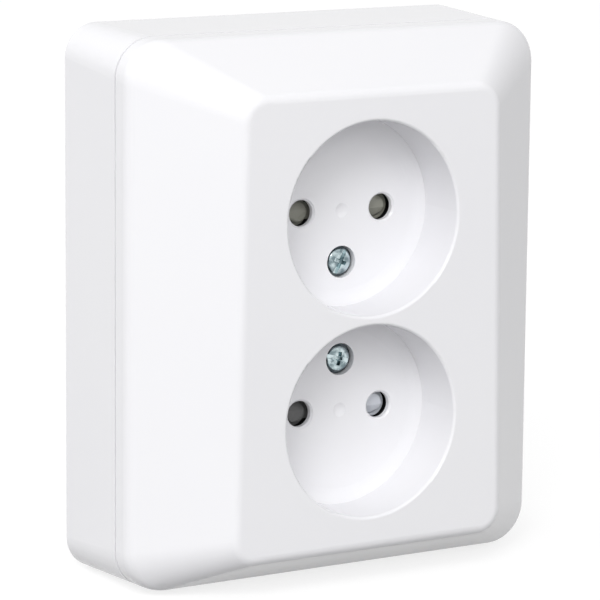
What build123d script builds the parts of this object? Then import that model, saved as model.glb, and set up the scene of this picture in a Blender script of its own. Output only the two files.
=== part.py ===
from build123d import *
import os
from math import cos, radians, sin

# Surface-mounted double socket outlet without earth, in millimetres.
# The origin is on the wall, midway between the two wells. X points right and Z up, seen from the
# front. Depth is measured from the wall towards the front, so a point at depth d has y = -d.

# Housing outline on the wall, at the rim and on the flat front
wall_width = 96.3
wall_height = 114.6
body_depth = 42.7
wall_corner = 7.0
side_flare = 0.1
end_draft = 1.05
rim_corner = 8.5
rim_round = 3.6
slope_depth = 15.3
top_side_slope = 18.8
bottom_side_slope = 16.8
end_slope = 9.1
front_corner = 5.2
front_round = 2.4
housing_rise = 1.3
front_drop = 0.35

# Housing walls and the joint between its two halves
housing_wall = 2.2
back_thickness = 2.5
rim_band = 5.3
shadow_gap = 0.2
edge_round = 0.35
lip_wall = 1.1
lip_depth = 3.0
lip_clearance = 0.2
rib_gap = 1.9
rib_thickness = 1.2
rib_clearance = 1.0

# Wells
well_pitch = 41.8
well_radius = 20.0
well_draft = 0.2
well_edge_depth = 12.0
well_floor_depth = 12.8
dish_width = 3.1
mouth_round = 0.6
cup_wall = 1.7
floor_thickness = 1.8
dimple_radius = 1.5
dimple_depth = 0.45

# Pin holes and cover screws
pin_pitch = 19.0
pin_hole_radius = 2.75
pin_lead_in = 0.4
screw_offset = 10.7
boss_radius = 4.7
boss_wall = 2.3
head_radius = 3.0
head_height = 1.7
head_sink = 0.25
head_clearance = 0.35
shank_radius = 1.75
shank_length = 11.0
shank_clearance = 0.15
thread_clearance = 0.05

# Shutters
shutter_gap = 0.4
shutter_thickness = 1.6
shutter_bevel = 0.35
hub_radius = 3.4
pivot_radius = 1.5
pivot_clearance = 0.08
arm_width = 3.4
tab_radius = 2.95
ramp_drop = 1.0
ramp_start = 0.4
ear_width = 2.6
shutter_turn = 36.0
stop_radius = 0.8
stop_reach = 5.4
stop_clearance = 0.1

# Shutter springs
wire_radius = 0.3
wire_clearance = 0.25
coil_radius = 2.6
leg_tilt = 12.0
leg_length = 7.0
peg_radius = 0.7
peg_along_leg = 5.5
peg_clearance = 0.03

# Contact carrier and its lid
pole_margin = 9.5
carrier_corner = 2.5
carrier_wall = 1.5
carrier_floor = 1.8
carrier_back = 6.0
plate_thickness = 1.8
plate_overlap = 0.4
spine_width = 9.0
post_radius = 4.2
post_clearance = 0.2
window_radius = 3.0
cell_reach = 7.0
snap_height = 8.0
snap_width = 6.0
snap_thickness = 1.2
snap_hook = 0.8
snap_clearance = 0.15
snap_length = 8.0
snap_catch = 2.0
wire_notch = 4.4

# Contacts
strip_thickness = 0.8
strip_width = 7.0
strip_bend = 1.0
leaf_thickness = 0.6
leaf_height = 8.0
jaw_gap = 4.6
jaw_flare = 1.0
jaw_mouth = 3.5
jaw_clearance = 0.6
clip_thickness = 0.5
clip_drop = 1.5
clip_length = 5.0
clip_bend = 1.2
clip_open = 3.5
clip_reach = 5.0
clip_clearance = 0.05
tab_depth = 14.0
riser_offset = 9.7
terminal_offset = 5.0
tab_margin = 4.4
tab_clearance = 0.5
clamp_thickness = 1.0
clamp_length = 7.2
clamp_lip = 0.8
clamp_clearance = 0.1
terminal_head_radius = 3.0
terminal_head_height = 2.0
terminal_shank_radius = 1.7
terminal_screw_length = 6.5

# Nuts and the screws of the carrier
nut_width = 6.0
nut_thickness = 2.4
nut_clearance = 0.1
nut_sink = 6.0
carrier_screw_inset = 6.0
carrier_shank_radius = 1.4
carrier_seat = 9.8
carrier_screw_length = 6.6

# Openings of the back wall and the thin places of the side walls
slot_pitch = 60.0
slot_length = 8.0
slot_width = 4.4
pad_margin = 2.2
pad_height = 1.0
entry_offset = 7.0
entry_width = 20.0
entry_size = 9.0
knockout_width = 18.0
knockout_start = 5.0
knockout_size = 12.0
knockout_skin = 0.8

# Places and depths that follow from the sizes above
past = 1.0
rim_width = wall_width + 2 * side_flare
rim_height = wall_height - 2 * end_draft
rim_depth = body_depth - slope_depth
parting_depth = rim_depth - rim_band
rib_back = parting_depth + rib_gap
well_edge_radius = well_radius - well_draft
dish_radius = well_edge_radius - dish_width
riser_height = well_pitch / 2 + riser_offset
terminal_height = riser_height + terminal_offset
tab_end = terminal_height + tab_margin
carrier_width = pin_pitch + 2 * pole_margin
rib_start = carrier_width / 2 + rib_clearance
carrier_height = 2 * (tab_end + tab_clearance + carrier_wall)
plate_height = 2 * (riser_height + plate_overlap)
carrier_screw_height = carrier_height / 2 - carrier_screw_inset
entry_height = carrier_height / 2 + entry_offset
well_heights = [well_pitch / 2, -well_pitch / 2]
pole_places = [-pin_pitch / 2, pin_pitch / 2]
pin_places = [(x, z) for z in well_heights for x in pole_places]
screw_places = [(0, side * (well_pitch / 2 - screw_offset)) for side in (-1, 1)]
carrier_screw_places = [(0, side * carrier_screw_height) for side in (-1, 1)]
slot_places = [(side * slot_pitch / 2, 0) for side in (-1, 1)]
floor_depth = body_depth - well_floor_depth
edge_depth = body_depth - well_edge_depth
floor_back = floor_depth - floor_thickness
head_seat = floor_depth - head_sink - head_height
boss_back = head_seat - boss_wall
cover_edge = parting_depth + shadow_gap
tongue_back = parting_depth - lip_depth + lip_clearance
shutter_front = floor_back - shutter_gap
shutter_back = shutter_front - shutter_thickness
plate_front = shutter_back - 2 * (wire_radius + wire_clearance)
plate_back = plate_front - plate_thickness
wire_depth = plate_front + wire_clearance + wire_radius
jaw_top = plate_back - jaw_clearance
jaw_throat = jaw_top - jaw_mouth
clip_back = jaw_throat - clip_drop - clip_length
carrier_inside = carrier_back + carrier_floor
strip_depth = carrier_inside + strip_thickness / 2
channel_outside = carrier_width / 2 - carrier_wall
channel_width = channel_outside - spine_width / 2
channel_middle = spine_width / 2 + channel_width / 2
channel_length = carrier_height - 2 * carrier_wall
clamp_seat = tab_depth + strip_thickness
terminal_seat = clamp_seat + clamp_thickness
nut_front = boss_back - nut_sink
jaw_leaf = jaw_gap / 2 + leaf_thickness / 2
clip_arm = jaw_gap / 2 + leaf_thickness + clip_clearance + clip_thickness / 2
tab_middle = tab_depth + strip_thickness / 2
pedestal_start = riser_height + strip_bend + post_clearance
peg_x = coil_radius * cos(radians(leg_tilt)) + peg_along_leg * sin(radians(leg_tilt))
peg_z = peg_along_leg * cos(radians(leg_tilt)) - coil_radius * sin(radians(leg_tilt))
peg_out = wire_radius + peg_radius + peg_clearance
spring_peg = (peg_x + peg_out * cos(radians(leg_tilt)), peg_z - peg_out * sin(radians(leg_tilt)))
stop_drop = arm_width / 2 + stop_radius + stop_clearance
stop_x = stop_drop * sin(radians(shutter_turn)) - stop_reach * cos(radians(shutter_turn))
stop_z = -stop_drop * cos(radians(shutter_turn)) - stop_reach * sin(radians(shutter_turn))
snap_inside = carrier_width / 2 + snap_clearance
snap_outside = snap_inside + snap_thickness
hook_back = plate_back - snap_length
clamp_width = strip_width + 2 * (clamp_lip + clamp_clearance)
nut_slot = (spine_width + nut_width) / 2 + nut_clearance
knockout_end = knockout_start + knockout_size
knockout_half = (wall_height - (wall_height - rim_height) * knockout_end / rim_depth) / 2 - knockout_skin


# Straight sides of the housing: a rounded rectangle that changes evenly from the wall to the rim
def housing_outline(depth, inset=0.0):
    share = depth / rim_depth
    width = wall_width + (rim_width - wall_width) * share - 2 * inset
    height = wall_height + (rim_height - wall_height) * share - 2 * inset
    corner = wall_corner + (rim_corner - wall_corner) * share - inset
    with BuildSketch(Plane.XZ.offset(depth)) as outline:
        with Locations((0, housing_rise)):
            RectangleRounded(width, height, corner)
    return outline.sketch


# Flat front of the housing, a little wider at the bottom than at the top
def front_outline(depth, inset=0.0):
    top = rim_width / 2 - top_side_slope - inset
    bottom = rim_width / 2 - bottom_side_slope - inset
    half = rim_height / 2 - end_slope - inset
    with BuildSketch(Plane.XZ.offset(depth)) as outline:
        with Locations((0, -front_drop)):
            Polygon((-bottom, -half), (bottom, -half), (top, half), (-top, half))
        fillet(outline.vertices(), front_corner - inset)
    return outline.sketch


# A point beside a well's centre. The lower mechanism is the upper one turned half round
def well_point(side, x, z):
    return (side * x, side * (well_pitch / 2 + z))


# Screw along Y: the head's underside at the origin, the shank pointing at the wall
def pan_head_screw(radius, height, shank, length):
    dome = 0.35 * height
    with BuildPart() as screw:
        with BuildSketch(Plane.XY):
            with BuildLine():
                Polyline((0, -height), (0, length), (0.8 * shank, length), (shank, length - 0.3 * shank))
                Polyline((shank, length - 0.3 * shank), (shank, 0), (radius, 0), (radius, dome - height))
                TangentArc((0, -height), (radius, dome - height), tangent=(1, 0))
            make_face()
        revolve(axis=Axis.Y)
    return screw.part


# Rear box: moulded tray with wall screw slots, a cable entry and bosses for the carrier
with BuildPart() as rear_box:
    loft(sections=[housing_outline(0), housing_outline(parting_depth)], ruled=True)
    loft(
        sections=[housing_outline(back_thickness, housing_wall), housing_outline(cover_edge, housing_wall)],
        ruled=True,
        mode=Mode.SUBTRACT,
    )
    loft(
        sections=[housing_outline(parting_depth - lip_depth, lip_wall), housing_outline(cover_edge, lip_wall)],
        ruled=True,
        mode=Mode.SUBTRACT,
    )
    with BuildSketch(Plane.XZ.offset(back_thickness)):
        with Locations(*slot_places):
            SlotOverall(slot_length + 2 * pad_margin, slot_width + 2 * pad_margin)
        with Locations((0, entry_height)):
            RectangleRounded(entry_width + 2 * pad_margin, entry_size + 2 * pad_margin, entry_size / 2)
    extrude(amount=pad_height)
    with BuildSketch(Plane.XZ.offset(back_thickness)):
        with Locations(*carrier_screw_places):
            Circle(spine_width / 2)
        with GridLocations(carrier_width - spine_width, 2 * carrier_screw_height, 2, 2):
            Circle(spine_width / 3)
    extrude(amount=carrier_back - back_thickness)
    with BuildSketch(Plane.XZ):
        with Locations(*slot_places):
            SlotOverall(slot_length, slot_width)
        with Locations((0, entry_height)):
            RectangleRounded(entry_width, entry_size, entry_size / 3)
    extrude(amount=back_thickness + pad_height, mode=Mode.SUBTRACT)
    with BuildSketch(Plane.XZ.offset(back_thickness)):
        with Locations(*carrier_screw_places):
            Circle(carrier_shank_radius + thread_clearance)
    extrude(amount=carrier_back, mode=Mode.SUBTRACT)
    with BuildSketch(Plane.XY.offset(housing_rise + knockout_half)):
        with Locations((0, -knockout_start - knockout_size / 2)):
            RectangleRounded(knockout_width, knockout_size, knockout_size / 4)
    extrude(amount=-housing_wall, mode=Mode.SUBTRACT)
    with BuildSketch(Plane.XY.offset(housing_rise - knockout_half)):
        with Locations((0, -knockout_start - knockout_size / 2)):
            RectangleRounded(knockout_width, knockout_size, knockout_size / 4)
    extrude(amount=housing_wall, mode=Mode.SUBTRACT)
rear_box.part.label = "rear_box"

# Space inside the front cover, which follows its walls
with BuildPart() as cover_space:
    inner_rim = rim_depth - 0.35 * housing_wall
    loft(
        sections=[housing_outline(tongue_back - past, housing_wall), housing_outline(inner_rim, housing_wall)],
        ruled=True,
    )
    loft(
        sections=[
            housing_outline(inner_rim, housing_wall),
            front_outline(body_depth - housing_wall, 0.5 * housing_wall),
        ],
        ruled=True,
    )

# Stiffening ribs between the wells and the housing's walls
with BuildPart() as cover_ribs:
    add(cover_space.part)
    with BuildSketch(Plane.XZ.offset(rib_back)):
        with GridLocations(2 * (rib_start + wall_width / 4), well_pitch, 2, 2):
            Rectangle(wall_width / 2, rib_thickness)
        with GridLocations(well_radius, 2 * (well_pitch / 2 + well_radius + cup_wall + wall_height / 8), 2, 2):
            Rectangle(rib_thickness, wall_height / 4)
    extrude(amount=body_depth, mode=Mode.INTERSECT)

# Front cover: one moulding with a straight rim, sloped sides and the two wells
with BuildPart() as front_cover:
    loft(sections=[housing_outline(cover_edge), housing_outline(rim_depth)], ruled=True)
    loft(sections=[housing_outline(rim_depth), front_outline(body_depth)], ruled=True)
    fillet(edges().filter_by_position(Axis.Y, -rim_depth - 0.01, 0.01 - rim_depth), rim_round)
    fillet(edges().group_by(Axis.Y)[0], front_round)
    fillet(edges().group_by(Axis.Y)[-1], edge_round)
    loft(
        sections=[
            housing_outline(tongue_back, lip_wall + lip_clearance),
            housing_outline(cover_edge + past, lip_wall + lip_clearance),
        ],
        ruled=True,
    )
    add(cover_space.part, mode=Mode.SUBTRACT)
    add(cover_ribs.part)
    with BuildSketch(Plane.XZ.offset(floor_back)):
        with Locations(*[(0, z) for z in well_heights]):
            Circle(well_radius + cup_wall)
    extrude(amount=body_depth - housing_wall / 2 - floor_back)
    with BuildSketch(Plane.XZ.offset(boss_back)):
        with Locations(*screw_places):
            Circle(boss_radius)
    extrude(amount=floor_back - boss_back)
    for well_z in well_heights:
        with BuildSketch(Plane.XY.offset(well_z)):
            with BuildLine():
                Polyline(
                    (dish_radius, -floor_depth),
                    (0, -floor_depth),
                    (0, -body_depth - past),
                    (well_radius, -body_depth - past),
                    (well_edge_radius, -edge_depth),
                )
                TangentArc((dish_radius, -floor_depth), (well_edge_radius, -edge_depth), tangent=(1, 0))
            make_face()
        revolve(axis=Axis((0, 0, well_z), (0, 1, 0)), mode=Mode.SUBTRACT)
    mouths = edges().filter_by(GeomType.CIRCLE).group_by(Axis.Y)[0]
    fillet(mouths.filter_by(lambda edge: edge.radius > dish_radius), mouth_round)
    with BuildSketch(Plane.XZ.offset(floor_back - past)):
        with Locations(*pin_places):
            Circle(pin_hole_radius)
    extrude(amount=floor_thickness + 2 * past, mode=Mode.SUBTRACT)
    pin_edges = edges().filter_by(GeomType.CIRCLE).filter_by(
        lambda edge: abs(edge.radius - pin_hole_radius) < 0.01
    )
    chamfer(pin_edges, pin_lead_in)
    with BuildSketch(Plane.XZ.offset(head_seat)):
        with Locations(*screw_places):
            Circle(head_radius + head_clearance)
    extrude(amount=floor_depth - head_seat, mode=Mode.SUBTRACT)
    with BuildSketch(Plane.XZ.offset(boss_back)):
        with Locations(*screw_places):
            Circle(shank_radius + shank_clearance)
    extrude(amount=boss_wall, mode=Mode.SUBTRACT)
    ball_radius = (dimple_radius**2 + dimple_depth**2) / (2 * dimple_depth)
    with Locations(*[(0, dimple_depth - ball_radius - floor_depth, z) for z in well_heights]):
        Sphere(ball_radius, mode=Mode.SUBTRACT)
front_cover.part.label = "front_cover"

# Contact carrier: insulating tray with a channel for each pole and a spine between them
with BuildPart() as contact_carrier:
    with BuildSketch(Plane.XZ.offset(carrier_back)):
        RectangleRounded(carrier_width, carrier_height, carrier_corner)
    extrude(amount=plate_back - carrier_back)
    with BuildSketch(Plane.XZ.offset(carrier_inside)):
        with GridLocations(2 * channel_middle, 0, 2, 1):
            Rectangle(channel_width, channel_length)
    extrude(amount=plate_back, mode=Mode.SUBTRACT)
    with BuildSketch(Plane.XZ.offset(carrier_inside)):
        for well_z in well_heights:
            with Locations((0, well_z - cell_reach), (0, well_z + cell_reach)):
                Rectangle(2 * channel_outside, rib_thickness)
    extrude(amount=plate_back - carrier_inside)
    with BuildSketch(Plane.XZ.offset(carrier_inside)):
        with GridLocations(pin_pitch, 0, 2, 1):
            Rectangle(strip_width + 2 * post_clearance, 2 * riser_height)
    extrude(amount=strip_thickness + post_clearance, mode=Mode.SUBTRACT)
    with BuildSketch(Plane.XZ.offset(carrier_inside)):
        with GridLocations(pin_pitch, pedestal_start + channel_length / 2, 2, 2):
            Rectangle(clamp_width, channel_length / 2 - pedestal_start)
        with GridLocations(pin_pitch, 2 * terminal_height, 2, 2):
            Circle(wire_notch / 2, mode=Mode.SUBTRACT)
    extrude(amount=tab_depth - carrier_inside)
    with BuildSketch(Plane.XZ.offset(clamp_seat)):
        with GridLocations(pin_pitch, carrier_height, 2, 2):
            Rectangle(wire_notch, 2 * carrier_wall + past)
    extrude(amount=plate_back, mode=Mode.SUBTRACT)
    with BuildSketch(Plane.XZ.offset(plate_back)):
        with Locations(*screw_places):
            Circle(post_radius)
    extrude(amount=boss_back - plate_back)
    with BuildSketch(Plane.XZ.offset(head_seat - shank_length - shank_clearance)):
        with Locations(*screw_places):
            Circle(shank_radius + shank_clearance)
    extrude(amount=body_depth, mode=Mode.SUBTRACT)
    with BuildSketch(Plane.XZ.offset(nut_front - nut_thickness - nut_clearance)):
        with Locations(*[(spine_width / 2 - nut_slot / 2, z) for x, z in screw_places]):
            Rectangle(nut_slot, nut_width + 2 * nut_clearance)
    extrude(amount=nut_thickness + 2 * nut_clearance, mode=Mode.SUBTRACT)
    with BuildSketch(Plane.XZ.offset(carrier_seat)):
        with Locations(*carrier_screw_places):
            Circle(head_radius + head_clearance)
    extrude(amount=body_depth, mode=Mode.SUBTRACT)
    with BuildSketch(Plane.XZ.offset(carrier_back)):
        with Locations(*carrier_screw_places):
            Circle(carrier_shank_radius + shank_clearance)
    extrude(amount=carrier_seat, mode=Mode.SUBTRACT)
    with BuildSketch(Plane.XZ.offset(hook_back - snap_clearance)):
        with GridLocations(carrier_width, 2 * snap_height, 2, 2):
            Rectangle(2 * snap_hook, snap_width + 4 * snap_clearance)
    extrude(amount=snap_catch + 2 * snap_clearance, mode=Mode.SUBTRACT)
contact_carrier.part.label = "contact_carrier"

# Shutter plate: lid of the carrier with pin windows, pivots, spring pegs, stops and snap arms
with BuildPart() as shutter_plate:
    with BuildSketch(Plane.XZ.offset(plate_back)):
        RectangleRounded(carrier_width, plate_height, carrier_corner)
        with Locations(*pin_places):
            Circle(window_radius, mode=Mode.SUBTRACT)
        with Locations(*screw_places):
            Circle(post_radius + post_clearance, mode=Mode.SUBTRACT)
    extrude(amount=plate_thickness)
    with BuildSketch(Plane.XZ.offset(plate_front)):
        with Locations(*[(0, z) for z in well_heights]):
            Circle(pivot_radius)
    extrude(amount=floor_back - post_clearance - plate_front)
    with BuildSketch(Plane.XZ.offset(plate_front)):
        with Locations(*[well_point(side, -spring_peg[0], spring_peg[1]) for side in (-1, 1)]):
            Circle(peg_radius)
    extrude(amount=wire_clearance + 2 * wire_radius)
    with BuildSketch(Plane.XZ.offset(plate_front)):
        for side in (-1, 1):
            with Locations(well_point(side, stop_reach, -stop_drop), well_point(side, stop_x, stop_z)):
                Circle(stop_radius)
    extrude(amount=shutter_front - plate_front)
    for side in (-1, 1):
        for snap_z in (-snap_height, snap_height):
            with BuildSketch(Plane.XY.offset(snap_z)):
                Polygon(
                    (side * channel_outside, -plate_front),
                    (side * snap_outside, -plate_front),
                    (side * snap_outside, -hook_back),
                    (side * snap_inside, -hook_back),
                    (side * (snap_inside - snap_hook), -hook_back - snap_catch / 2),
                    (side * (snap_inside - snap_hook), -hook_back - snap_catch),
                    (side * snap_inside, -hook_back - snap_catch),
                    (side * snap_inside, -plate_back),
                    (side * channel_outside, -plate_back),
                    align=None,
                )
            extrude(amount=snap_width / 2, both=True)
shutter_plate.part.label = "shutter_plate"

# Shutters: a hub with two arms, a round tab before each pin hole and an ear for the spring
shutters = []
for well, side in (("upper", 1), ("lower", -1)):
    with BuildPart() as shutter:
        with BuildSketch(Plane.XZ.offset(shutter_back)):
            with Locations(well_point(side, 0, 0)):
                Circle(hub_radius)
                Rectangle(pin_pitch, arm_width)
            with Locations(*[well_point(side, x, 0) for x in pole_places]):
                Circle(tab_radius)
            SlotCenterPoint(
                well_point(side, spring_peg[0] / 2, spring_peg[1] / 2),
                well_point(side, *spring_peg),
                ear_width,
            )
        extrude(amount=shutter_thickness)
        chamfer(faces().sort_by(Axis.Y)[0].outer_wire().edges(), shutter_bevel)
        with BuildSketch(Plane.XZ.offset(shutter_back)):
            with Locations(well_point(side, 0, 0)):
                Circle(pivot_radius + pivot_clearance)
        extrude(amount=shutter_thickness, mode=Mode.SUBTRACT)
        for x in pole_places:
            tab_x, tab_z = well_point(side, x, 0)
            fall = -1 if tab_x > 0 else 1
            with BuildSketch(Plane.YZ.offset(tab_x)):
                Polygon(
                    (-shutter_front, tab_z + fall * ramp_start),
                    (-shutter_front, tab_z + fall * tab_radius),
                    (ramp_drop - shutter_front, tab_z + fall * tab_radius),
                    align=None,
                )
            extrude(amount=tab_radius, both=True, mode=Mode.SUBTRACT)
        with BuildSketch(Plane.XZ.offset(shutter_back)):
            with Locations(well_point(side, *spring_peg)):
                Circle(peg_radius)
        extrude(amount=wire_depth - wire_radius - shutter_back)
    shutter.part.label = f"shutter_{well}"
    shutters.append(shutter.part)

# Shutter springs: bent wire, an open coil round the pivot with a leg to either peg
springs = []
for well, side in (("upper", 1), ("lower", -1)):
    start_angle = 90 - 90 * side - leg_tilt
    with BuildPart() as spring:
        with BuildLine(Plane.XZ.offset(wire_depth)):
            coil = CenterArc(well_point(side, 0, 0), coil_radius, start_angle, 2 * leg_tilt - 180)
            leg = Line(coil @ 0 - (coil % 0) * leg_length, coil @ 0)
            Line(coil @ 1, coil @ 1 + (coil % 1) * leg_length)
        with BuildSketch(Plane(origin=leg @ 0, z_dir=leg % 0)):
            Circle(wire_radius)
        sweep()
    spring.part.label = f"shutter_spring_{well}"
    springs.append(spring.part)

# Contacts: a folded brass strip for each pole, with a terminal tab at both ends and two jaws
contacts = []
for pole, x in (("line", pole_places[1]), ("neutral", pole_places[0])):
    with BuildPart() as contact:
        with BuildSketch(Plane.YZ.offset(x)):
            with BuildLine():
                FilletPolyline(
                    (-tab_middle, -tab_end),
                    (-tab_middle, -riser_height),
                    (-strip_depth, -riser_height),
                    (-strip_depth, riser_height),
                    (-tab_middle, riser_height),
                    (-tab_middle, tab_end),
                    radius=strip_bend,
                )
            trace(line_width=strip_thickness)
        extrude(amount=strip_width / 2, both=True)
        for well_z in well_heights:
            with BuildSketch(Plane.XY.offset(well_z)):
                with BuildLine():
                    for leaf in (-1, 1):
                        Polyline(
                            (x + leaf * (jaw_leaf + jaw_flare), -jaw_top),
                            (x + leaf * jaw_leaf, -jaw_throat),
                            (x + leaf * jaw_leaf, -strip_depth),
                        )
                trace(line_width=leaf_thickness)
            extrude(amount=leaf_height / 2, both=True)
        with BuildSketch(Plane.XZ.offset(tab_depth)):
            with Locations((x, terminal_height), (x, -terminal_height)):
                Circle(terminal_shank_radius + clamp_clearance)
        extrude(amount=strip_thickness, mode=Mode.SUBTRACT)
    contact.part.label = f"{pole}_contact"
    contacts.append(contact.part)

# Jaw clips: a spring steel strip bent round each jaw, so that it keeps its grip
jaw_clips = []
for well, side in (("upper", 1), ("lower", -1)):
    for pole, x in (("line", pole_places[1]), ("neutral", pole_places[0])):
        with BuildPart() as jaw_clip:
            with BuildSketch(Plane.XZ.offset(clip_back)):
                with BuildLine():
                    FilletPolyline(
                        (x - clip_arm, side * (well_pitch / 2 - clip_open)),
                        (x - clip_arm, side * (well_pitch / 2 + clip_reach)),
                        (x + clip_arm, side * (well_pitch / 2 + clip_reach)),
                        (x + clip_arm, side * (well_pitch / 2 - clip_open)),
                        radius=clip_bend,
                    )
                trace(line_width=clip_thickness)
            extrude(amount=clip_length)
        jaw_clip.part.label = f"jaw_clip_{pole}_{well}"
        jaw_clips.append(jaw_clip.part)

# Terminal clamps: a plate with two lips that keep it square on the tab
terminal_clamps = []
for well, side in (("upper", 1), ("lower", -1)):
    for pole, x in (("line", pole_places[1]), ("neutral", pole_places[0])):
        with BuildPart() as terminal_clamp:
            with BuildSketch(Plane.XZ.offset(clamp_seat)):
                with Locations((x, side * terminal_height)):
                    RectangleRounded(clamp_width, clamp_length, clamp_lip)
                    Circle(terminal_shank_radius + clamp_clearance, mode=Mode.SUBTRACT)
            extrude(amount=clamp_thickness)
            with BuildSketch(Plane.XZ.offset(tab_depth + clamp_clearance)):
                with Locations((x, side * terminal_height)):
                    with GridLocations(clamp_width - clamp_lip, 0, 2, 1):
                        Rectangle(clamp_lip, clamp_length - 2 * clamp_lip)
            extrude(amount=strip_thickness)
        terminal_clamp.part.label = f"terminal_clamp_{pole}_{well}"
        terminal_clamps.append(terminal_clamp.part)

# Terminal screws, one through each clamp
terminal_screw = pan_head_screw(
    terminal_head_radius, terminal_head_height, terminal_shank_radius, terminal_screw_length
)
with BuildPart() as terminal_screws:
    with Locations(*[(x, -terminal_seat, side * terminal_height) for x in pole_places for side in (-1, 1)]):
        add(terminal_screw)
terminal_screws.part.label = "terminal_screws"

# Cover screws, one in the floor of each well
cover_screw = pan_head_screw(head_radius, head_height, shank_radius, shank_length)
with BuildPart() as cover_screws:
    with Locations(*[(x, -head_seat, z) for x, z in screw_places]):
        add(cover_screw)
cover_screws.part.label = "cover_screws"

# Square nuts for the cover screws, in pockets of the carrier's spine
with BuildPart() as cover_nuts:
    with BuildSketch(Plane.XZ.offset(nut_front - nut_thickness)):
        with Locations(*screw_places):
            Rectangle(nut_width, nut_width)
            Circle(shank_radius + thread_clearance, mode=Mode.SUBTRACT)
    extrude(amount=nut_thickness)
cover_nuts.part.label = "cover_nuts"

# Screws that hold the carrier on the bosses of the rear box
carrier_screw = pan_head_screw(head_radius, head_height, carrier_shank_radius, carrier_screw_length)
with BuildPart() as carrier_screws:
    with Locations(*[(x, -carrier_seat, z) for x, z in carrier_screw_places]):
        add(carrier_screw)
carrier_screws.part.label = "carrier_screws"

# Write each piece to its own file
os.makedirs("parts", exist_ok=True)
export_step(rear_box.part, "parts/rear_box.step")
export_step(front_cover.part, "parts/front_cover.step")
export_step(contact_carrier.part, "parts/contact_carrier.step")
export_step(shutter_plate.part, "parts/shutter_plate.step")
export_step(terminal_screws.part, "parts/terminal_screws.step")
export_step(cover_screws.part, "parts/cover_screws.step")
export_step(cover_nuts.part, "parts/cover_nuts.step")
export_step(carrier_screws.part, "parts/carrier_screws.step")
for piece in shutters + springs + contacts + jaw_clips + terminal_clamps:
    export_step(piece, f"parts/{piece.label}.step")
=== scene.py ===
import math

import bpy
from mathutils import Matrix, Vector


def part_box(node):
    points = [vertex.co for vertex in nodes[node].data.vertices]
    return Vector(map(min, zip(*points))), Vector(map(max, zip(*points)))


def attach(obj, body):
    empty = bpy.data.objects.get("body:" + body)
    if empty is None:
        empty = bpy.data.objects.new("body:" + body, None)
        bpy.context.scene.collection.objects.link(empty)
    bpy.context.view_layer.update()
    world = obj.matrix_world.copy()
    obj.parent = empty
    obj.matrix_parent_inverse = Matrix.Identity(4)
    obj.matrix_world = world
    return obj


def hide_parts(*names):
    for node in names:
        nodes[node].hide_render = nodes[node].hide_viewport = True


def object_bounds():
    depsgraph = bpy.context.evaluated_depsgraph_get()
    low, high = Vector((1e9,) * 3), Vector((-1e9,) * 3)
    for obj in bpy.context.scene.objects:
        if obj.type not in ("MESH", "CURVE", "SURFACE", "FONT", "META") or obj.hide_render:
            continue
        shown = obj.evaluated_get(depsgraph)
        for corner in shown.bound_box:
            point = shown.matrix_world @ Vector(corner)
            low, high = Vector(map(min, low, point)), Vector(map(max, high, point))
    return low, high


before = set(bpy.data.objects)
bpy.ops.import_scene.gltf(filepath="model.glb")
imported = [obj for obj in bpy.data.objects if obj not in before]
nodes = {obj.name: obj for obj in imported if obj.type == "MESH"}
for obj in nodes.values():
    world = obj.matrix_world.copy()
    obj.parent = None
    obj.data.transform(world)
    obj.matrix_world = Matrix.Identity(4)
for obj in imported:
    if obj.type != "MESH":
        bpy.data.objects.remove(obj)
cad_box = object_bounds()
bpy.ops.object.select_all(action="DESELECT")
mm = 0.001


# Camera, at the angle from which the socket is seen: from the left and a little above. It is
# moved sideways, and not turned, until the socket's middle comes to its place in the picture.
picture_size = 600
sensor_width = 36


def point_camera(azimuth, elevation, roll, focal, distance, target, target_pixel):
    a = math.radians(azimuth)
    e = math.radians(elevation)
    ahead = Vector((-math.sin(a) * math.cos(e), math.cos(a) * math.cos(e), -math.sin(e)))
    level = ahead.cross(Vector((0, 0, 1))).normalized()
    above = level.cross(ahead)
    right = level * math.cos(math.radians(roll)) + above * math.sin(math.radians(roll))
    up = above * math.cos(math.radians(roll)) - level * math.sin(math.radians(roll))
    across = (target_pixel[0] - picture_size / 2) / focal
    down = (target_pixel[1] - picture_size / 2) / focal
    place = target - distance * (ahead + across * right - down * up)
    camera_data = bpy.data.cameras.new("camera")
    camera_data.sensor_width = sensor_width
    camera_data.lens = sensor_width * focal / picture_size
    camera_data.clip_start = 0.05
    camera_data.clip_end = 50
    camera = bpy.data.objects.new("camera", camera_data)
    bpy.context.scene.collection.objects.link(camera)
    turn = Matrix((right, up, -ahead)).transposed()
    camera.matrix_world = Matrix.Translation(place) @ turn.to_4x4()
    bpy.context.scene.camera = camera


point_camera(
    azimuth=-30.54,
    elevation=10.77,
    roll=0.55,
    focal=3358,
    distance=0.6996,
    target=Vector((0, -20 * mm, 0)),
    target_pixel=(316, 302.5),
)


# Rear box: a tray of white gloss plastic that is screwed to the wall. It is injection moulded in
# a polished mould, so its skin is smooth, with a faint waviness and slightly duller patches.
def add_socket(group, direction, name, kind, value):
    socket = group.interface.new_socket(name=name, in_out=direction, socket_type=kind)
    if value is not None:
        socket.default_value = value


def join(tree, from_node, output, to_node, entry):
    tree.links.new(from_node.outputs[output], to_node.inputs[entry])


def noise(tree, place, output, scale, detail):
    texture = tree.nodes.new("ShaderNodeTexNoise")
    texture.inputs["Scale"].default_value = scale
    texture.inputs["Detail"].default_value = detail
    join(tree, place, output, texture, "Vector")
    return texture


def spread(tree, source, low, high):
    levels = tree.nodes.new("ShaderNodeMapRange")
    levels.interpolation_type = "SMOOTHSTEP"
    levels.inputs["From Min"].default_value = low
    levels.inputs["From Max"].default_value = high
    join(tree, source, "Fac", levels, "Value")
    return levels


def blend_colours(tree, share, output):
    mix = tree.nodes.new("ShaderNodeMixRGB")
    join(tree, share, output, mix, "Fac")
    return mix


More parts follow.
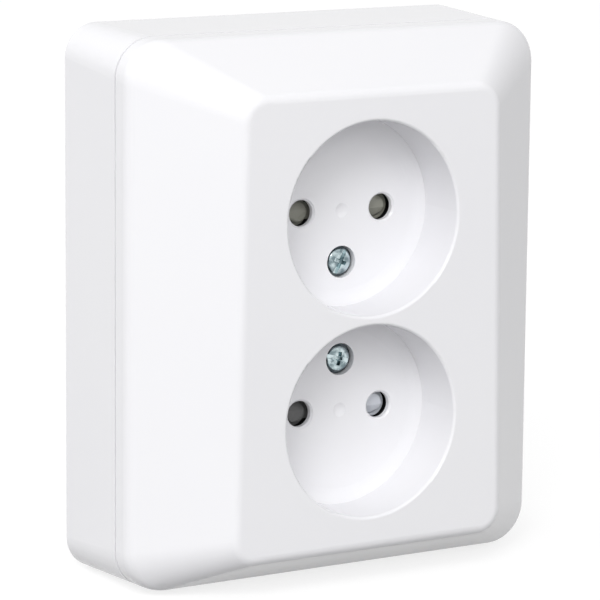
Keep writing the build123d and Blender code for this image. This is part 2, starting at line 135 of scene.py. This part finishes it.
moulded_skin = bpy.data.node_groups.new("moulded_skin", "ShaderNodeTree")
add_socket(moulded_skin, "INPUT", "Resin", "NodeSocketColor", (0.8, 0.8, 0.8, 1))
add_socket(moulded_skin, "INPUT", "Cloud", "NodeSocketColor", (0.8, 0.8, 0.8, 1))
add_socket(moulded_skin, "INPUT", "Cloud Scale", "NodeSocketFloat", 30)
add_socket(moulded_skin, "INPUT", "Smoothest", "NodeSocketFloat", 0.2)
add_socket(moulded_skin, "INPUT", "Roughest", "NodeSocketFloat", 0.3)
add_socket(moulded_skin, "INPUT", "Grain Scale", "NodeSocketFloat", 900)
add_socket(moulded_skin, "OUTPUT", "Color", "NodeSocketColor", None)
add_socket(moulded_skin, "OUTPUT", "Roughness", "NodeSocketFloat", None)
add_socket(moulded_skin, "OUTPUT", "Height", "NodeSocketFloat", None)
values_in = moulded_skin.nodes.new("NodeGroupInput")
values_out = moulded_skin.nodes.new("NodeGroupOutput")
place = moulded_skin.nodes.new("ShaderNodeTexCoord")
clouds = noise(moulded_skin, place, "Object", scale=30, detail=1)
join(moulded_skin, values_in, "Cloud Scale", clouds, "Scale")
tint = blend_colours(moulded_skin, spread(moulded_skin, clouds, low=0.2, high=0.8), "Result")
join(moulded_skin, values_in, "Resin", tint, "Color1")
join(moulded_skin, values_in, "Cloud", tint, "Color2")
join(moulded_skin, tint, "Color", values_out, "Color")
patches = noise(moulded_skin, place, "Object", scale=60, detail=2)
polish = spread(moulded_skin, patches, low=0.1, high=0.9)
join(moulded_skin, values_in, "Smoothest", polish, "To Min")
join(moulded_skin, values_in, "Roughest", polish, "To Max")
join(moulded_skin, polish, "Result", values_out, "Roughness")
grain = noise(moulded_skin, place, "Object", scale=900, detail=1)
join(moulded_skin, values_in, "Grain Scale", grain, "Scale")
join(moulded_skin, grain, "Fac", values_out, "Height")


def plastic(name, resin, cloud, cloud_scale, smoothest, roughest, grain_scale, grain_depth):
    material = bpy.data.materials.new(name)
    material.use_nodes = True
    tree = material.node_tree
    skin = tree.nodes.new("ShaderNodeGroup")
    skin.node_tree = moulded_skin
    skin.inputs["Resin"].default_value = (*resin, 1)
    skin.inputs["Cloud"].default_value = (*cloud, 1)
    skin.inputs["Cloud Scale"].default_value = cloud_scale
    skin.inputs["Smoothest"].default_value = smoothest
    skin.inputs["Roughest"].default_value = roughest
    skin.inputs["Grain Scale"].default_value = grain_scale
    shader = tree.nodes["Principled BSDF"]
    shader.inputs["Specular IOR Level"].default_value = 0.28
    bump = tree.nodes.new("ShaderNodeBump")
    bump.inputs["Strength"].default_value = 0.5
    bump.inputs["Distance"].default_value = grain_depth
    join(tree, skin, "Height", bump, "Height")
    join(tree, skin, "Color", shader, "Base Color")
    join(tree, skin, "Roughness", shader, "Roughness")
    join(tree, bump, "Normal", shader, "Normal")
    return material


def dress(node, material):
    nodes[node].data.materials.clear()
    nodes[node].data.materials.append(material)


housing_white = plastic(
    "housing_white",
    resin=(0.842, 0.840, 0.860),
    cloud=(0.828, 0.826, 0.850),
    cloud_scale=18,
    smoothest=0.15,
    roughest=0.20,
    grain_scale=260,
    grain_depth=0.004 * mm,
)
dress("rear_box", housing_white)


# Contact carrier: a black moulding of a heat-resistant plastic that holds all the live parts.
# Two screws fix it on the bosses of the rear box.
carrier_black = plastic(
    "carrier_black",
    resin=(0.012, 0.012, 0.013),
    cloud=(0.020, 0.020, 0.020),
    cloud_scale=60,
    smoothest=0.40,
    roughest=0.55,
    grain_scale=1200,
    grain_depth=0.02 * mm,
)
dress("contact_carrier", carrier_black)

# Contacts: brass strip, stamped, folded and left bare. Each joins the jaws of one pole to its
# terminals, and is dropped into the carrier from the front.
line_scale = 1200
patch_scale = 600


# Worked metal has fine lines along one direction, and patches where it is a little duller.
def metal(name, bright, dull, roughness, line_stretch, line_depth):
    material = bpy.data.materials.new(name)
    material.use_nodes = True
    tree = material.node_tree
    shader = tree.nodes["Principled BSDF"]
    shader.inputs["Metallic"].default_value = 1
    place = tree.nodes.new("ShaderNodeTexCoord")
    stretch = tree.nodes.new("ShaderNodeMapping")
    stretch.inputs["Scale"].default_value = line_stretch
    join(tree, place, "Object", stretch, "Vector")
    lines = noise(tree, stretch, "Vector", scale=line_scale, detail=3)
    spots = noise(tree, place, "Object", scale=patch_scale, detail=3)
    patches = spread(tree, spots, low=0.35, high=0.65)
    shade = blend_colours(tree, patches, "Result")
    shade.inputs["Color1"].default_value = (*bright, 1)
    shade.inputs["Color2"].default_value = (*dull, 1)
    join(tree, shade, "Color", shader, "Base Color")
    worn = spread(tree, lines, low=0.2, high=0.8)
    worn.inputs["To Min"].default_value = roughness[0]
    worn.inputs["To Max"].default_value = roughness[1]
    join(tree, worn, "Result", shader, "Roughness")
    bump = tree.nodes.new("ShaderNodeBump")
    bump.inputs["Strength"].default_value = 0.6
    bump.inputs["Distance"].default_value = line_depth
    join(tree, lines, "Fac", bump, "Height")
    join(tree, bump, "Normal", shader, "Normal")
    return material


contact_brass = metal(
    "contact_brass",
    bright=(0.80, 0.60, 0.28),
    dull=(0.66, 0.46, 0.20),
    roughness=(0.22, 0.38),
    line_stretch=(1, 1, 0.08),
    line_depth=0.01 * mm,
)
for node in ("line_contact", "neutral_contact"):
    dress(node, contact_brass)

# Jaw clips: strips of bright spring steel, bent round the brass jaws to keep them pressed on
# a plug's pin.
spring_steel = metal(
    "spring_steel",
    bright=(0.60, 0.61, 0.63),
    dull=(0.46, 0.47, 0.50),
    roughness=(0.20, 0.34),
    line_stretch=(1, 0.1, 1),
    line_depth=0.006 * mm,
)
for node in nodes:
    if node.startswith("jaw_clip"):
        dress(node, spring_steel)

# Terminal clamps: pressed steel plates that hold the conductors down on the brass. They and the
# screws have a bright, slightly bluish zinc plate.
zinc_plate = metal(
    "zinc_plate",
    bright=(0.60, 0.70, 0.72),
    dull=(0.19, 0.25, 0.27),
    roughness=(0.08, 0.24),
    line_stretch=(1, 1, 1),
    line_depth=0.008 * mm,
)
for node in nodes:
    if node.startswith("terminal_clamp"):
        dress(node, zinc_plate)


# Carrier screws: zinc plated steel, with a coarse thread that cuts its own way into the bosses
# of the rear box. The domed head is cold formed, and takes a flat or a cross-tip screwdriver.
def select_only(piece):
    bpy.ops.object.select_all(action="DESELECT")
    piece.select_set(True)
    bpy.context.view_layer.objects.active = piece


def edit(piece, mode, wanted):
    select_only(piece)
    bpy.ops.object.mode_set(mode="EDIT")
    bpy.ops.mesh.select_mode(type=mode)
    bpy.ops.mesh.select_all(action="DESELECT")
    bpy.ops.object.mode_set(mode="OBJECT")
    parts = {"VERT": piece.data.vertices, "EDGE": piece.data.edges, "FACE": piece.data.polygons}[mode]
    for part in parts:
        part.select = wanted(part)
    bpy.ops.object.mode_set(mode="EDIT")


def combine(piece, tool, operation):
    select_only(piece)
    boolean = piece.modifiers.new(operation, "BOOLEAN")
    boolean.operation = operation
    boolean.object = tool
    boolean.solver = "EXACT"
    bpy.ops.object.modifier_apply(modifier=operation)
    bpy.data.objects.remove(tool)


def recess_cutter(length, width, foot_share, top, depth, turn):
    bpy.ops.mesh.primitive_cube_add(size=1, location=(0, 0, top))
    cutter = bpy.context.object
    cutter.scale = (length, width, 2 * depth)
    cutter.rotation_euler = (0, 0, turn)
    bpy.ops.object.transform_apply()
    edit(cutter, "FACE", lambda face: face.normal.z < -0.9)
    bpy.ops.transform.resize(value=(foot_share, foot_share, 1))
    bpy.ops.object.mode_set(mode="OBJECT")
    return cutter


# The head is a flat collar whose top is raised in steps to a dome, and then cut with one long
# slot and a cross. The collar stands out a little past the given radius.
collar_spread = 0.2
dome_inset = 0.35
cross_turn = 0.05


def domed_head(name, radius, height, recess_turn):
    collar = 0.3 * height
    dome = 0.3 * height
    inner = radius - dome_inset
    bpy.ops.mesh.primitive_cylinder_add(
        vertices=64, radius=radius + collar_spread, depth=collar, location=(0, 0, collar / 2)
    )
    head = bpy.context.object
    head.name = name
    bpy.ops.object.transform_apply()
    edit(head, "FACE", lambda face: face.normal.z > 0.9)
    bpy.ops.mesh.inset(thickness=radius + collar_spread - inner)
    bpy.ops.mesh.extrude_region_move(TRANSFORM_OT_translate={"value": (0, 0, height - collar - dome)})
    steps = 8
    for step in range(steps):
        low = step / (steps + 1) * math.pi / 2
        high = (step + 1) / (steps + 1) * math.pi / 2
        bpy.ops.mesh.inset(thickness=inner * (math.cos(low) - math.cos(high)))
        bpy.ops.transform.translate(value=(0, 0, dome * (math.sin(high) - math.sin(low))))
    bpy.ops.transform.translate(value=(0, 0, dome * (1 - math.sin(high))))
    bpy.ops.object.mode_set(mode="OBJECT")
    wing = 0.6 * radius
    wing_width = 0.34 * radius
    wing_depth = 0.80 * height
    middle = 0.64 * radius
    for length, width, foot_share, depth, turn in (
        (2.4 * radius, 0.32 * radius, 0.95, 0.45 * height, 0),
        (2 * wing, wing_width, 0.6, wing_depth, cross_turn),
        (2 * wing, wing_width, 0.6, wing_depth, math.pi / 2 + cross_turn),
        (middle, middle, 0.4, 0.85 * height, math.pi / 4 + cross_turn),
    ):
        cutter = recess_cutter(length, width, foot_share, height, depth, turn + recess_turn)
        combine(head, cutter, "DIFFERENCE")
    return head


# The thread is the outline of one ridge, wound up the shank and cut flat at both ends. Its neck
# reaches into the head.
neck = 0.3
merge_gap = 0.001


def threaded_shank(crest, root, pitch, length, tip):
    bpy.ops.mesh.primitive_circle_add(
        vertices=3, radius=pitch / math.sqrt(3), rotation=(math.pi / 2, math.pi / 2, 0)
    )
    shank = bpy.context.object
    bpy.ops.object.transform_apply()
    corners = [corner.co.x for corner in shank.data.vertices]
    inside = min(corners) + 0.1 * pitch
    edit(shank, "EDGE", lambda line: all(corners[end] < inside for end in line.vertices))
    bpy.ops.mesh.delete(type="EDGE")
    bpy.ops.object.mode_set(mode="OBJECT")
    flatten = (crest - root) / (max(corners) - min(corners))
    shank.scale = (flatten, 1, 1)
    shank.location = (crest - flatten * max(corners), 0, -length - 2 * pitch)
    bpy.ops.object.transform_apply()
    turns = shank.modifiers.new("turns", "SCREW")
    turns.screw_offset = pitch
    turns.iterations = math.ceil(length / pitch) + 4
    turns.steps = 28
    turns.render_steps = 28
    bpy.ops.object.modifier_apply(modifier="turns")
    edit(shank, "VERT", lambda corner: True)
    bpy.ops.mesh.remove_doubles(threshold=merge_gap)
    bpy.ops.object.mode_set(mode="OBJECT")
    for height, side in ((-length, -1), (neck, 1)):
        edit(shank, "VERT", lambda corner: True)
        bpy.ops.mesh.bisect(
            plane_co=(0, 0, height), plane_no=(0, 0, side), use_fill=True, clear_outer=True
        )
        bpy.ops.object.mode_set(mode="OBJECT")
    edit(shank, "VERT", lambda corner: corner.co.z < merge_gap - length)
    bpy.ops.transform.resize(value=(tip, tip, 1))
    bpy.ops.mesh.select_all(action="SELECT")
    bpy.ops.mesh.normals_make_consistent(inside=False)
    bpy.ops.object.mode_set(mode="OBJECT")
    return shank


# The collar and the outer rim under the head take a dark zinc colour, which is painted shade
# of the narrow gap round the head in its recess.
zinc_painted_shade = metal(
    "zinc_painted_shade",
    bright=(0.12, 0.14, 0.15),
    dull=(0.05, 0.06, 0.07),
    roughness=(0.30, 0.45),
    line_stretch=(1, 1, 1),
    line_depth=0.008 * mm,
)
# Width of the ring of painted shade inside the edge of the head.
shaded_ring_width = 0.4


# A screw is modelled in millimetres and then made its real size, because its cuts and turns
# are too small for the modelling tools in metres.
def model_screw(name, head_radius, head_height, crest, root, pitch, length, tip, recess_turn):
    screw = domed_head(name, head_radius, head_height, math.radians(recess_turn))
    combine(screw, threaded_shank(crest, root, pitch, length, tip), "UNION")
    select_only(screw)
    screw.scale = (mm, mm, mm)
    screw.rotation_euler = (math.pi / 2, 0, 0)
    bpy.ops.object.transform_apply()
    bpy.ops.object.shade_smooth_by_angle(angle=math.radians(35))
    screw.data.materials.clear()
    screw.data.materials.append(zinc_plate)
    screw.data.materials.append(zinc_painted_shade)
    top = min(corner.co.y for corner in screw.data.vertices)
    # Faces low on the head and near its edge take the painted shade.
    for face in screw.data.polygons:
        spot = face.center
        under = spot.y > top + 0.5 * head_height * mm
        if under and math.hypot(spot.x, spot.z) > (head_radius - shaded_ring_width) * mm:
            face.material_index = 1
    return screw


def set_screws(node, model, spots):
    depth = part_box(node)[0].y - min(corner.co.y for corner in model.data.vertices)
    for number, (x, z) in enumerate(spots, 1):
        screw = model.copy()
        screw.data = model.data.copy()
        screw.name = f"{model.name}_{number}"
        screw.data.transform(Matrix.Translation((x, depth, z)))
        bpy.context.scene.collection.objects.link(screw)
        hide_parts(node)
        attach(screw, "housing")
    bpy.data.objects.remove(model)


head_radius = 3.0
carrier_screw = model_screw(
    "carrier_screw",
    head_radius=head_radius,
    head_height=1.7,
    crest=1.4,
    root=1.0,
    pitch=1.1,
    length=6.6,
    tip=0.5,
    recess_turn=25,
)
carrier_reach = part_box("carrier_screws")[1].z - head_radius * mm
set_screws("carrier_screws", carrier_screw, [(0, carrier_reach), (0, -carrier_reach)])

# Terminal screws: zinc plated steel with a fine thread, one through each clamp into the brass.
# They are left open for the conductors.
terminal_screw = model_screw(
    "terminal_screw",
    head_radius=head_radius,
    head_height=2.0,
    crest=1.7,
    root=1.4,
    pitch=0.6,
    length=6.5,
    tip=0.8,
    recess_turn=70,
)
terminal_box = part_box("terminal_screws")
terminal_side = terminal_box[1].x - head_radius * mm
terminal_reach = terminal_box[1].z - head_radius * mm
set_screws(
    "terminal_screws",
    terminal_screw,
    [(x, z) for x in (-terminal_side, terminal_side) for z in (-terminal_reach, terminal_reach)],
)

# Shutter plate: the lid of the carrier, of the same black plastic, with the two pivot pins of
# the shutters. It keeps the contacts in place.
dress("shutter_plate", carrier_black)

# Shutters: plates of grey moulded plastic that close the pin holes from behind, and turn on the
# pivot pins when a plug is pushed in. A raised round pad stands behind each hole, and the plate
# round it is set back. The lower shutter's left end has painted shade, a darker copy of the grey,
# and its right end has painted light, a paler, bluish copy.
def shutter_plastic(name, resin, cloud):
    return plastic(
        name,
        resin=resin,
        cloud=cloud,
        cloud_scale=120,
        smoothest=0.22,
        roughest=0.36,
        grain_scale=1500,
        grain_depth=0.01 * mm,
    )


shutter_grey = shutter_plastic("shutter_grey", resin=(0.235, 0.235, 0.200), cloud=(0.285, 0.285, 0.250))
# Painted shade and painted light for the left and right ends of the lower shutter.
shutter_painted_shade = shutter_plastic("shutter_painted_shade", resin=(0.125, 0.125, 0.125), cloud=(0.155, 0.155, 0.155))
shutter_painted_light = shutter_plastic("shutter_painted_light", resin=(0.600, 0.625, 0.680), cloud=(0.660, 0.685, 0.730))
well_height = 20.9
pad_offset = 9.3
pad_radius = 2.12
pad_draft = 0.2
set_back = 0.9
arm_start = 5
relief_middle = 8.9
relief_size = (9.4, 2 * set_back, 10)
for node, height, pad_plastics in (
    ("shutter_upper", well_height, (shutter_grey, shutter_grey)),
    ("shutter_lower", -well_height, (shutter_painted_shade, shutter_painted_light)),
):
    shutter = bpy.data.objects.new(f"{node}_moulding", nodes[node].data.copy())
    bpy.context.scene.collection.objects.link(shutter)
    select_only(shutter)
    shutter.scale = (1 / mm, 1 / mm, 1 / mm)
    bpy.ops.object.transform_apply()
    edit(shutter, "VERT", lambda corner: True)
    bpy.ops.mesh.remove_doubles(threshold=merge_gap)
    bpy.ops.object.mode_set(mode="OBJECT")
    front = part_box(node)[0].y / mm
    for side in (-1, 1):
        bpy.ops.mesh.primitive_cube_add(size=1, location=(side * relief_middle, front, height))
        cutter = bpy.context.object
        cutter.scale = relief_size
        bpy.ops.object.transform_apply()
        bpy.ops.mesh.primitive_cone_add(
            vertices=48,
            radius1=pad_radius + pad_draft,
            radius2=pad_radius - pad_draft,
            depth=4 * set_back,
            location=(side * pad_offset, front, height),
            rotation=(math.pi / 2, 0, 0),
        )
        combine(cutter, bpy.context.object, "DIFFERENCE")
        combine(shutter, cutter, "DIFFERENCE")
    select_only(shutter)
    shutter.scale = (mm, mm, mm)
    bpy.ops.object.transform_apply()
    bpy.ops.object.shade_smooth_by_angle(angle=math.radians(12))
    shutter.data.materials.clear()
    for material in (shutter_grey, *pad_plastics):
        shutter.data.materials.append(material)
    for face in shutter.data.polygons:
        face.material_index = 0
        if face.center.x < -arm_start * mm:
            face.material_index = 1
        if face.center.x > arm_start * mm:
            face.material_index = 2
    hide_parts(node)
    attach(shutter, node)

# Shutter springs: bright steel wire, wound round the pivot pins and bent by machine. Their legs
# turn the shutters back over the pin holes.
for node in ("shutter_spring_upper", "shutter_spring_lower"):
    dress(node, spring_steel)

# Cover nuts: square nuts of pressed steel with the same zinc plate. They lie in pockets of the
# carrier, which keep them from turning.
dress("cover_nuts", zinc_plate)

# Front cover: one moulding of the same white plastic as the rear box, with the two round wells.
# It closes over the rim of the rear box.
dress("front_cover", housing_white)

# Cover screws: zinc plated steel, one in the floor of each well, which reach the nuts and hold
# the cover on. Each stopped at its own angle when it was tightened.
cover_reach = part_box("cover_screws")[1].z - head_radius * mm
for well, reach, recess_turn in (("upper", cover_reach, 64), ("lower", -cover_reach, -15)):
    cover_screw = model_screw(
        f"cover_screw_{well}",
        head_radius=head_radius,
        head_height=1.7,
        crest=1.75,
        root=1.45,
        pitch=0.6,
        length=11.0,
        tip=0.8,
        recess_turn=recess_turn,
    )
    set_screws("cover_screws", cover_screw, [(0, reach)])

# Floor: a wide pale surface under the socket, which keeps its soft shadow. Seen directly or
# mirrored in metal, it is lit up to white.
floor_tone = 0.30
floor_glow = 0.79
bpy.ops.mesh.primitive_plane_add(size=12, location=(0, 0, cad_box[0].z))
floor = bpy.context.object
floor.name = "floor"
floor_white = bpy.data.materials.new("floor_white")
floor_white.use_nodes = True
tree = floor_white.node_tree
shader = tree.nodes["Principled BSDF"]
shader.inputs["Base Color"].default_value = (floor_tone, floor_tone, floor_tone, 1)
shader.inputs["Roughness"].default_value = 0.9
shader.inputs["Specular IOR Level"].default_value = 0
shader.inputs["Emission Color"].default_value = (1, 1, 1, 1)


def calculate(tree, operation, first, second):
    step = tree.nodes.new("ShaderNodeMath")
    step.operation = operation
    for entry, value in zip(step.inputs, (first, second)):
        if isinstance(value, (int, float)):
            entry.default_value = value
        else:
            tree.links.new(value, entry)
    return step.outputs["Value"]


def shown_as_background(tree):
    seen = tree.nodes.new("ShaderNodeLightPath").outputs
    mirrored = calculate(tree, "MAXIMUM", seen["Is Glossy Ray"], seen["Is Transmission Ray"])
    return calculate(tree, "MAXIMUM", seen["Is Camera Ray"], mirrored)


glow = calculate(tree, "MULTIPLY", shown_as_background(tree), floor_glow)
tree.links.new(glow, shader.inputs["Emission Strength"])
floor.data.materials.append(floor_white)

# Light: a white room that is brightest to the left and in front and dimmer behind, one soft
# panel above to the left, and a small lamp behind the camera that draws the fine highlights.
world = bpy.data.worlds.new("room")
bpy.context.scene.world = world
world.use_nodes = True
tree = world.node_tree
background = tree.nodes["Background"]
background.inputs["Color"].default_value = (1, 1, 1, 1)
sight = tree.nodes.new("ShaderNodeTexCoord")
direction = tree.nodes.new("ShaderNodeSeparateXYZ")
join(tree, sight, "Generated", direction, "Vector")
even_light = 0.05
brighter_sides = (("X", -1.30), ("Y", -1.38), ("Y", 0.50))
room = even_light
for axis, pull in brighter_sides:
    lobe = calculate(tree, "MAXIMUM", calculate(tree, "MULTIPLY", direction.outputs[axis], pull), 0)
    room = calculate(tree, "ADD", lobe, room)
strength = tree.nodes.new("ShaderNodeMix")
strength.data_type = "FLOAT"
strength.inputs["B"].default_value = 1
tree.links.new(shown_as_background(tree), strength.inputs["Factor"])
tree.links.new(room, strength.inputs["A"])
join(tree, strength, "Result", background, "Strength")


def soft_panel(name, place, size, power):
    lamp = bpy.data.lights.new(name, "AREA")
    lamp.shape = "DISK"
    lamp.size = size
    lamp.energy = power
    panel = bpy.data.objects.new(name, lamp)
    bpy.context.scene.collection.objects.link(panel)
    panel.location = place
    panel.rotation_euler = (-Vector(place)).to_track_quat("-Z", "Y").to_euler()


soft_panel("panel_left", place=(-0.8, -0.9, 0.9), size=0.5, power=6.2)
soft_panel("small_lamp", place=(-0.35, -1.1, 0.55), size=0.12, power=0.4)

bpy.context.scene.view_settings.view_transform = "Standard"
